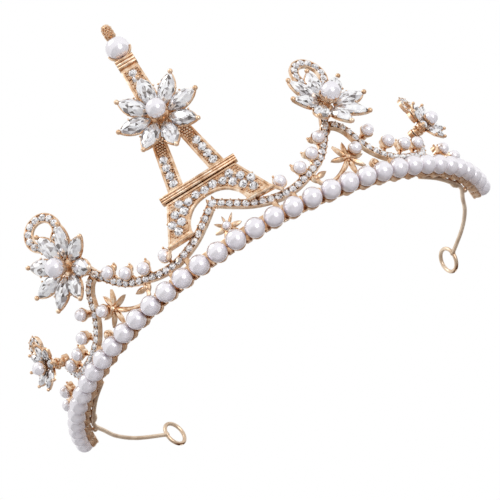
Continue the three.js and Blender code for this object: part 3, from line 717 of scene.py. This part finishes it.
def tower_bed_stones():
    """Where the tower's stones sit."""
    right = [(2.9, 19.6), (5.8, 18.9), (8.5, 19.8), (8.2, 17.0), (11.0, 17.5),
             (10.3, 14.6), (12.6, 12.3), (13.2, 15.0)]
    legs = [(6.75 - 0.36 * i, 26.4 + 2.75 * i) for i in range(4)]
    spire = [(0, 55.4 + 2.5 * i) for i in range(5)]
    left = [(-x, y) for x, y in right]
    return [(0, 19.3), *right, *left, *legs, *[(-x, y) for x, y in legs], *spire]


def inside(outline, x, y):
    """Whether a spot lies in a flat outline, by counting the sides to its right."""
    crossings = 0
    for (ax, ay), (bx, by) in zip(outline, outline[1:] + outline[:1]):
        if (ay > y) != (by > y) and x < ax + (y - ay) * (bx - ax) / (by - ay):
            crossings += 1
    return crossings % 2 == 1


def granulate(bm, outline, stones, height, pitch=0.82):
    """Fills a bed with small grains in rows, leaving the stones free."""
    xs, ys = [x for x, _ in outline], [y for _, y in outline]
    rows, columns = int((max(ys) - min(ys)) / pitch) + 1, int((max(xs) - min(xs)) / pitch) + 2
    for row in range(rows):
        for column in range(columns):
            x = min(xs) + (column + 0.5 * (row % 2)) * pitch
            y = min(ys) + (row + 0.5) * pitch
            clear = all(math.hypot(x - sx, y - sy) > TOWER_STONE + 0.1 for sx, sy in stones)
            if clear and inside(outline, x, y):
                grain(bm, (x + chance.uniform(-0.1, 0.1), y, height), chance.uniform(0.42, 0.52))


def tower_beds(bm, stones):
    """Grains round the stones, and the claws that hold them."""
    bed = TOWER_FRONT - 0.38
    base = [(0, 18.5), (0, 21.2), (11.0, 21.2), (15.1, 11.3), (10.3, 11.0), (9.2, 14.2),
            (6.4, 17.0), (3.0, 18.3)]
    leg = [(5.3, 25.4), (8.5, 25.4), (5.9, 38.8), (4.1, 46.2), (1.4, 46.2), (3.0, 38.8)]
    for side in (-1, 1):
        for outline in (base, leg):
            granulate(bm, [(side * x, y) for x, y in outline], stones, bed)
    granulate(bm, [(-2.1, 53), (2.1, 53), (2.0, 66.6), (-2.0, 66.6)], stones, bed)
    for stone in stones:
        grain_ring(bm, stone, TOWER_STONE, TOWER_FRONT - 0.1, 0.38)


def build_tower_casting():
    bm = bmesh.new()
    tower_plates(bm)
    tower_feet(bm)
    ridged_bar(bm, BAR_FOOT, BAR_TOP, BAR_HALF, BAR_RIDGES, BAR_FRONT)
    spire_collar(bm)
    tower_beds(bm, tower_bed_stones())
    make_piece("tower_casting", bm, tower_place, "gold", ["tower_frame"])


def build_tower_stones():
    bm = bmesh.new()
    for x, y in tower_bed_stones():
        pave_stone(bm, x, y, TOWER_FRONT - 0.3, TOWER_STONE / STONE_RADIUS)
    make_piece("tower_stones", bm, tower_place, "crystal")


def build_spire_bead():
    bm = bmesh.new()
    place = shift(0, SPIRE_PEARL_HEIGHT, SPIRE_AXIS) @ UPRIGHT
    stamp(bm, pearl_shape(SPIRE_PEARL, hole=SPIRE_ROD + 0.2), place)
    make_piece("spire_bead", bm, tower_place, "pearl", ["spire_pearl"])


def build_spire_finial():
    """A domed stub covered in rows of grains."""
    bm = bmesh.new()
    radius = TIP_RADIUS - 0.3
    foot, top = TIP_FOOT + 0.1, TIP_FOOT + TIP_LENGTH
    core = [(0, foot), (radius, foot), (radius, top - 1.4), (0.7 * radius, top - 0.5), (0, top - 0.25)]
    stamp(bm, turned(core, 16), SPIRE_PLACE)
    rows, per_row, row_pitch = 6, 9, 0.78
    for row in range(rows):
        height = TIP_FOOT + 0.45 + row * row_pitch
        spread = radius if row < rows - 1 else radius * 0.72
        for k in range(per_row):
            spot = 2 * math.pi * (k + 0.5 * (row % 2)) / per_row
            grain(bm, SPIRE_PLACE @ Vector((spread * math.cos(spot), spread * math.sin(spot), height)), 0.46)
    grain(bm, SPIRE_PLACE @ Vector((0, 0, top - 0.45)), 0.5)
    make_piece("spire_finial", bm, tower_place, "gold", ["spire_tip"])


# ---- vines ----
# Routes are places along the band and over the pearl line, drawn for the right half.
MAIN_ROUTE = [(0.3, 14.9), (5, 11.5), (10, 8.5), (15, 6.8), (20, 6.1), (25, 6.9), (30, 8.8), (35, 11.4),
              (39, 15.0), (44.2, 21.8)]
FALL_ROUTE = [(45.6, 22.2), (48.2, 21.6), (50.8, 19.0), (52.6, 14.4), (55.6, 9.9), (60, 6.9), (67, 5.7),
              (76.5, 7.0), (80, 10.0), (82.5, 13.5)]
SIDE_PAD, END_PAD = (48.8, 29.2), (82, 16)
NECK_ROUTE = [(43.8, 20), (45.6, 24), SIDE_PAD]
TAIL_ROUTE = [(78, 7.4), (82, 5.8), (88, 5.4), (94, 5.1), (98, 5.0)]
STAR_CENTRE = (45.0, 9.5)
STEM_ROUTE = [STAR_CENTRE, (40.5, 6.0), (37.6, 4.4), (34.65, 3.7), (31.8, 4.6), (31.2, 8.2)]
# A bud's pearl, the root of its stem, the spot its leaf points to, how far it stands out.
BUDS = [((20.3, 9.7), (19.9, 6.6), (19.6, 13.6), 0), ((28.0, 11.0), (27.0, 8.0), (25.6, 15.0), 0),
        ((33.9, 13.9), (32.6, 10.4), (30.6, 17.2), 0), ((39.1, 18.4), (38.2, 14.8), (34.8, 20.6), 0),
        ((47.9, 10.9), (52.4, 13.8), (45.2, 8.8), 0.3), ((56.0, 15.8), (53.0, 14.4), (59.0, 18.2), 0.8),
        ((61.2, 10.9), (59.0, 7.6), (62.6, 14.2), 0.6), ((67.5, 9.3), (64.6, 6.2), (67.6, 12.6), 0.6),
        ((74.4, 9.7), (71.6, 6.4), (73.6, 12.8), 0.6), ((89.6, 9.0), (85.4, 5.7), (90.0, 12.2), 0.8),
        ((97.0, 7.6), (95.0, 5.2), (98.6, 10.6), 0.8)]
# A foot's place, which moves to the nearest web, its top and its width.
FEET = [(15.7, 6.0, 1.7), (22, 6.1, 1.7), (34.6, 4.0, 1.3), (59.8, 6.6, 1.7), (66.1, 5.3, 1.7),
        (78.7, 8.6, 1.7), (91.3, 5.2, 1.7)]


def vine_stones():
    """Where a vine's stones sit, with those that would fall on the main row left out."""
    stones = []
    for route, left_out in ((MAIN_ROUTE, 0), (FALL_ROUTE, 1), (NECK_ROUTE, 1)):
        places = [place for place, _ in smooth_line(route, STONE_PITCH)]
        stones += [(p.x, p.y) for p in places[left_out:]]
    return stones


def vine_stems(bm):
    """Galleries for the stones, plain stems, and feet down to the rail."""
    for route, width in ((MAIN_ROUTE, 2.55), (FALL_ROUTE, 2.5), (NECK_ROUTE, 2.5)):
        section = channel_section(width, CAST_BACK, CAST_FRONT, 0.24, 0.45)
        sweep(bm, section, flat_stations(route, 0.9))
    for route in (TAIL_ROUTE, STEM_ROUTE):
        sweep(bm, bar_section(1.2, CAST_BACK + 0.2, CAST_FRONT - 0.1, 0.35), flat_stations(route, 0.9))
    for near, top, width in FEET:
        along = (round(near / PEARL_PITCH - 0.5) + 0.5) * PEARL_PITCH
        foot = flat_stations([(along, STRIP_TOP - 0.1), (along, top)], 1.0)
        sweep(bm, bar_section(width, CAST_BACK + 0.1, CAST_FRONT - 0.1, 0.3), foot)


def vine_star(bm):
    """The gold star flower under the side flower."""
    reach = 5.9
    for degrees in (0, 45, 76, 115, 172, 225, 268, 318):
        way = math.radians(degrees)
        tip = (STAR_CENTRE[0] + reach * math.cos(way), STAR_CENTRE[1] + reach * math.sin(way))
        leaf(bm, STAR_CENTRE, tip, 1.45, CAST_BACK + 0.2, CAST_FRONT + 0.1, 0.5)
    grain(bm, (*STAR_CENTRE, CAST_FRONT), 1.0, BALL)
    grain_ring(bm, STAR_CENTRE, 1.2, CAST_FRONT - 0.1, 0.45, count=6, start=0)


def vine_sprigs(bm):
    """A leaf at the tower, two at the stem's end and a berry on the main row."""
    back = CAST_BACK + 0.2
    leaf(bm, (0.4, 12.8), (1.0, 17.2), 1.5, back, CAST_FRONT)
    leaf(bm, (31.2, 6.9), (35.6, 7.6), 1.7, back, CAST_FRONT, 0.5)
    leaf(bm, (31.2, 5.2), (30.0, 8.8), 1.7, back, CAST_FRONT, 0.5)
    grain(bm, (31.2, 6.7, CAST_FRONT - 0.5), 0.95, BALL)
    berry = (52.8, 5.4)
    plate(bm, arc(berry, 1.6, 0, 330, 11), back, CAST_FRONT)
    grain(bm, (*berry, CAST_FRONT - 0.2), 1.1, BALL)


def bud_seat(outward):
    """How far out the middle of a bud's pearl lies."""
    return CAST_FRONT + outward + 0.6 * VINE_PEARL


def vine_bud(bm, cup, centre, root, towards, outward):
    """A cup on its pad and stem, with a pointed leaf tipped by a grain."""
    middle, out = Vector(centre), bud_seat(outward)
    end = middle + 3.0 * (Vector(towards) - middle).normalized()
    stamp(bm, cup, shift(*centre, out))
    leaf(bm, centre, tuple(end), 2.0, CAST_BACK + 0.4, CAST_FRONT + 0.3 + 0.4 * outward, 0.6, 0.6)
    grain(bm, (end.x, end.y, CAST_FRONT - 0.2 + 0.4 * outward), 0.4, BALL)
    sweep(bm, bar_section(1.1, CAST_BACK + 0.3, CAST_FRONT - 0.2, 0.3), flat_stations([root, centre], 1.2))
    plate(bm, arc(centre, 1.2, 0, 330, 11), CAST_BACK + 0.3, out - 2.0, soft=0)


def flower_pads(bm):
    """Round pads that the side and end flowers are soldered to."""
    plate(bm, arc(SIDE_PAD, 2.3, 0, 345, 23), CAST_BACK, CAST_FRONT)
    plate(bm, arc(END_PAD, 1.7, 0, 345, 23), CAST_BACK, CAST_FRONT)
    sweep(bm, bar_section(2.2, CAST_BACK, CAST_FRONT, 0.3), flat_stations([(82.2, 13), END_PAD], 1.0))


def vine_casting():
    bm = bmesh.new()
    vine_stems(bm)
    vine_star(bm)
    vine_sprigs(bm)
    cup = cup_shape(VINE_PEARL, 0.5, 2.3, 1.3, 14)
    for bud in BUDS:
        vine_bud(bm, cup, *bud)
    flower_pads(bm)
    for stone in vine_stones():
        grain_ring(bm, stone, 1.28, CAST_FRONT - 0.05, 0.28)
    return bm


def build_vines():
    """Draws the right vine, and hands over its mirror image and itself."""
    stones = bmesh.new()
    for x, y in vine_stones():
        pave_stone(stones, x, y, CAST_FRONT - 0.2)
    pearls = bmesh.new()
    bead = pearl_shape(VINE_PEARL, steps=20)
    for centre, _, _, outward in BUDS:
        stamp(pearls, bead, shift(*centre, bud_seat(outward)))
    casting = vine_casting()
    for side, flip in (("left", mirrored), ("right", bmesh.types.BMesh.copy)):
        make_piece(f"vine_{side}_casting", flip(casting), round_band, "gold", [f"vine_{side}"])
        make_piece(f"vine_{side}_stones", flip(stones), round_band, "crystal")
        make_piece(f"vine_{side}_buds", flip(pearls), round_band, "pearl")


# ---- flowers ----
def petal_place(flower, index, phase):
    """One of eight places round the hub, lifted outward at its tip."""
    lift = Matrix.Rotation(-math.radians(flower["lift"]), 4, "Y")
    middle = flower["reach"] - flower["length"] / 2
    return turn_z(phase + 45 * index) @ lift @ shift(middle, 0, flower["floor"])


def marquise_outline(length, width, count=12):
    """A pointed oval."""
    points = []
    for k in range(2 * count):
        turn = math.pi * k / count
        side = math.sin(turn)
        points.append((length / 2 * math.cos(turn), width / 2 * side * abs(side) ** 0.6))
    return points


def petal_setting(flower):
    """A bezel with a ball at its tip and two claws at its sides."""
    bm = bmesh.new()
    length, width, depth = flower["length"], flower["width"], flower["depth"]
    plate(bm, marquise_outline(length + 0.3, width + 0.12), -0.25, 0.3 * depth, soft=0.1)
    tip = length / 2 + 0.35 * flower["prong"]
    grain(bm, (tip, 0, 0.45 * depth), flower["prong"], BALL)
    for side in (-1, 1):
        grain(bm, (0.1 * length, side * (width / 2 + 0.05), 0.45 * depth), 0.42 * flower["prong"], BALL)
    return bm


def flower_heart(bm, flower):
    """The hub with its stem, and a cup with six rows of grains up the pearl."""
    hub, stem, pearl, height = flower["hub"], flower["stem"], flower["pearl"], flower["seat"]
    stem_top = height - pearl
    stamp(bm, turned([(0, 0), (hub - 0.2, 0), (hub, 0.2), (hub, 0.75), (hub - 0.25, 1.0),
                      (stem, 1.1), (stem, stem_top), (0, stem_top)], 28))
    stamp(bm, cup_shape(pearl, 0.42 * pearl, pearl + 0.45, stem), shift(0, 0, height))
    for index in range(6):
        turn = turn_z(60 * index + 30)
        for angle, size in ((-30, 0.44), (-20, 0.4), (-11, 0.34)):
            bend = math.radians(angle)
            spot = Vector(((pearl + 0.1) * math.cos(bend), 0, height + (pearl + 0.1) * math.sin(bend)))
            grain(bm, turn @ spot, size * pearl / 3)


def flower_setting(flower, phase):
    bm = bmesh.new()
    petal = petal_setting(flower)
    for index in range(8):
        stamp(bm, petal, petal_place(flower, index, phase))
    flower_heart(bm, flower)
    for index in range(8):
        grain(bm, turn_z(phase + 45 * index + 22.5) @ Vector((flower["hub"] + 0.3, 0, 1.3)), 0.5)
    return bm


def loop_arc(loop, start, end, steps):
    """Points along the middle of a loop's ring."""
    return arc((loop["lean"], loop["centre"]), (loop["outer"] + loop["hole"]) / 2, start, end, steps)


def loop_route(loop):
    """Up from the hub, once round the ring and back down."""
    neck = 0.35 * loop["centre"] + 0.6
    return [(1.0, 2.5), (1.9, neck), *loop_arc(loop, -60, 240, 10), (-1.6, neck), (-0.8, 2.5)]


def loop_stones(loop):
    return loop_arc(loop, -55, 235, loop["stones"] - 1)


def turn_loop(bm, first, loop):
    """Turns the loop's part of the mesh, from its first vertex on, out of the flower's plane."""
    tilt = Matrix.Rotation(math.radians(loop["tilt"]), 4, "X")
    twist = Matrix.Rotation(math.radians(loop["twist"]), 4, "Y")
    bmesh.ops.transform(bm, matrix=tilt @ twist, verts=list(bm.verts)[first:])


def loop_setting(bm, loop):
    """A teardrop of gallery over the flower, with claws round its stones."""
    first = len(bm.verts)
    section = channel_section(loop["outer"] - loop["hole"], -0.1, 1.0, 0.4, 0.4)
    sweep(bm, section, flat_stations(loop_route(loop), 0.8))
    for stone in loop_stones(loop):
        grain_ring(bm, stone, 1.2, 0.9, 0.27)
    turn_loop(bm, first, loop)


def flower_post(bm, post):
    """A waisted post behind the hub with a ring of balls round it."""
    waist = -0.5 * post
    stamp(bm, turned([(0, -post), (1.5, -post), (1.2, waist), (1.5, 0.1), (0, 0.1)], 16))
    for degrees in range(20, 380, 60):
        grain(bm, turn_z(degrees) @ Vector((1.3, 0, waist)), 0.75, BALL)


def flower_crystals(flower, kind, phase, loop):
    bm = bmesh.new()
    for index in range(8):
        stamp(bm, MARQUISES[kind], petal_place(flower, index, phase) @ shift(0, 0, 0.35 * flower["depth"]))
    if loop:
        first = len(bm.verts)
        for x, y in loop_stones(loop):
            pave_stone(bm, x, y, 0.7, 0.5 * (loop["outer"] - loop["hole"]) / 1.4)
        turn_loop(bm, first, loop)
    return bm


def build_flower(name, place, flower, kind, phase, loop=None, post=0.0):
    """A flower of three pieces: its mount, its stones and its pearl."""
    mount = flower_setting(flower, phase)
    if loop:
        loop_setting(mount, loop)
    if post:
        flower_post(mount, post)
    make_piece(f"{name}_mount", mount, place, "gold", [f"{name}_setting"])
    stones = flower_crystals(flower, kind, phase, loop)
    make_piece(f"{name}_stones", stones, place, "crystal", [f"{name}_crystals"])
    bead = bmesh.new()
    stamp(bead, pearl_shape(flower["pearl"]), shift(0, 0, flower["seat"]))
    make_piece(f"{name}_bead", bead, place, "pearl", [f"{name}_pearl"])


def build_centre_flower():
    along = TOWER_LEAN * (CENTRE_FLOWER - LEAN_HEIGHT) + 0.35
    place = seat(along, CENTRE_FLOWER, -1.4)
    build_flower("centre_flower", rigid(place), LARGE, "large", -2.5)


def build_side_flower(name, along, height, turn, tilt, phase, loop):
    place = seat(along, height, -1.6, turn) @ Matrix.Rotation(-math.radians(tilt), 4, "X")
    build_flower(name, rigid(place), LARGE, "large", phase, {**SIDE_LOOP, **loop})


def build_end_flower(name, along, turn, post, lean):
    place = seat(along, 15.8, post - 2.3, turn)
    build_flower(name, rigid(place), SMALL, "small", 22.5, {**END_LOOP, "lean": lean}, post)


def build_flowers():
    """The flowers were bent by hand, so the left and right ones stand a little differently."""
    build_centre_flower()
    left_loop = dict(lean=-1.8, centre=14.7, tilt=0, twist=20)
    build_side_flower("side_flower_left", -50.8, 29.8, 6, 0, 6, left_loop)
    build_end_flower("end_flower_left", -82, 12, 3.5, -2.6)
    right_loop = dict(lean=2.2, centre=12.9, tilt=13, twist=0)
    build_side_flower("side_flower_right", 47.4, 27.2, 4, 13, -6, right_loop)
    build_end_flower("end_flower_right", 82, 0, 2.0, 0.4)


# ---- end wires ----
def wire_place(side, past, inward, height):
    """A spot past the strip's end in degrees and inward of the wire's line in millimetres."""
    strip_end = PEARL_COUNT / 2 * PEARL_PITCH / BAND_RADIUS
    free = max(0, (past - WIRE_LEAVES) / (RING_PAST - WIRE_LEAVES))
    radius = WIRE_LINE - inward + side * WIRE_SPREAD * free ** 1.5
    angle = strip_end + math.radians(past)
    return Vector((side * radius * math.sin(angle), -radius * math.cos(angle), height))


def framed(places):
    """Stations that stand across a line of places in space."""
    stations = []
    for place, way in places:
        side = way.cross(OUT).normalized()
        stations.append(axes(side, side.cross(way), way, place))
    return stations


def ring_stations(centre, way):
    """Stations once round an upright ring that lies along the wire's way."""
    stations = []
    for k in range(41):
        turn = 2 * math.pi * k / 40
        outward = way * math.cos(turn) + OUT * math.sin(turn)
        ahead = OUT * math.cos(turn) - way * math.sin(turn)
        stations.append(axes(outward, ahead.cross(outward), ahead, centre + outward * RING_RADIUS))
    return stations


def build_wire(name, side):
    """A wire soldered inside the strip, bent free of it and joined to its ring."""
    bm = bmesh.new()
    centre = wire_place(side, RING_PAST, 5.4, 0)
    way = Vector((-centre.y, centre.x, 0)).normalized() * side
    meets = centre - way * RING_RADIUS
    soldered = [(-35, -0.9, -0.9), (-28, -0.9, -1.3), (-21, -0.8, -WIRE_DROP),
                (WIRE_LEAVES, -0.6, -WIRE_DROP)]
    free = [(-6, 1.9, -1.4), (4, 3.3, -0.9), (16, 4.6, -0.4)]
    spots = [tuple(wire_place(side, *spot)) for spot in soldered + free] + [tuple(meets)]
    sweep(bm, round_section(WIRE_RADIUS), framed(smooth_line(spots, 1.2)))
    sweep(bm, round_section(WIRE_RADIUS), ring_stations(centre, way), closed=True)
    grain(bm, meets, 0.98, BALL)
    for past, size in ((-19.5, 0.95), (-18.4, 1.15), (-17.2, 1.0), (-11, 0.95)):
        grain(bm, wire_place(side, past, -0.6, -WIRE_DROP), size, BALL)
    place = Matrix.Translation(BAND_CENTRE) @ Matrix.Scale(MM, 4)
    make_piece(f"{name}_ringed", bm, rigid(place), "wire", [name])


build_rail()
build_rail_pearls()
build_tower_casting()
build_tower_stones()
build_spire_bead()
build_spire_finial()
build_vines()
build_flowers()
build_wire("end_wire_right", 1)
build_wire("end_wire_left", -1)


# ---- studio ----
def camera_axes(azimuth, elevation, roll):
    """The camera's right, up and backward ways."""
    a, e, r = (math.radians(x) for x in (azimuth, elevation, roll))
    back = Vector((math.sin(a) * math.cos(e), -math.cos(a) * math.cos(e), math.sin(e)))
    level = (-back).cross(OUT).normalized()
    upright = level.cross(-back)
    side = math.cos(r) * level + math.sin(r) * upright
    up = -math.sin(r) * level + math.cos(r) * upright
    return side, up, back


def add_camera():
    """Looks up from below the band, with the camera rolled."""
    right, up, back = camera_axes(azimuth=-0.595, elevation=-23.823, roll=-33.117)
    data = bpy.data.cameras.new("camera")
    data.sensor_width, data.lens, data.clip_start = 36, 108, 0.01
    camera = bpy.data.objects.new("camera", data)
    place = MIDDLE_PEARL + (4.004 * right - 2.971 * up + CAMERA_DISTANCE * back) * MM
    camera.matrix_world = axes(right, up, back, place)
    bpy.context.scene.collection.objects.link(camera)
    bpy.context.scene.camera = camera


def add_lamp(name, direction, distance, size, power):
    """A round area lamp that faces the middle of the tiara."""
    data = bpy.data.lights.new(name, "AREA")
    data.shape, data.size, data.energy = "DISK", size, power
    lamp = bpy.data.objects.new(name, data)
    way = Vector(direction).normalized()
    aim = Vector((0, 0, 0.03))
    lamp.location = aim + way * distance
    lamp.rotation_euler = way.to_track_quat("Z", "Y").to_euler()
    bpy.context.scene.collection.objects.link(lamp)


def add_floor():
    bm = bmesh.new()
    bmesh.ops.create_grid(bm, x_segments=4, y_segments=4, size=1.5)
    add_object("studio_floor", bm, studio_floor())


def add_world():
    """White to the eye, to metal and to glass; a plain soft level on everything else."""
    world = bpy.data.worlds.new("studio")
    world.use_nodes = True
    bpy.context.scene.world = world
    nodes, links = world.node_tree.nodes, world.node_tree.links
    nodes.clear()
    rays = nodes.new("ShaderNodeLightPath")
    shown = rays.outputs["Is Camera Ray"]
    for kind in ("Is Glossy Ray", "Is Transmission Ray"):
        either = nodes.new("ShaderNodeMath")
        either.operation = "MAXIMUM"
        links.new(shown, either.inputs[0])
        links.new(rays.outputs[kind], either.inputs[1])
        shown = either.outputs[0]
    level = nodes.new("ShaderNodeMapRange")
    links.new(shown, level.inputs["Value"])
    level.inputs["To Min"].default_value = SOFT_LEVEL
    level.inputs["To Max"].default_value = 1.0
    sky = nodes.new("ShaderNodeBackground")
    sky.inputs["Color"].default_value = (1, 1, 1, 1)
    links.new(level.outputs["Result"], sky.inputs["Strength"])
    output = nodes.new("ShaderNodeOutputWorld")
    links.new(sky.outputs["Background"], output.inputs["Surface"])


add_camera()
add_floor()
add_world()
add_lamp("key", (0.49, -0.81, -0.29), distance=0.9, size=0.48, power=4.2)
add_lamp("overhead", (-0.25, -0.35, 0.9), distance=1.1, size=0.7, power=2.6)
bpy.context.scene.view_settings.view_transform = "Standard"
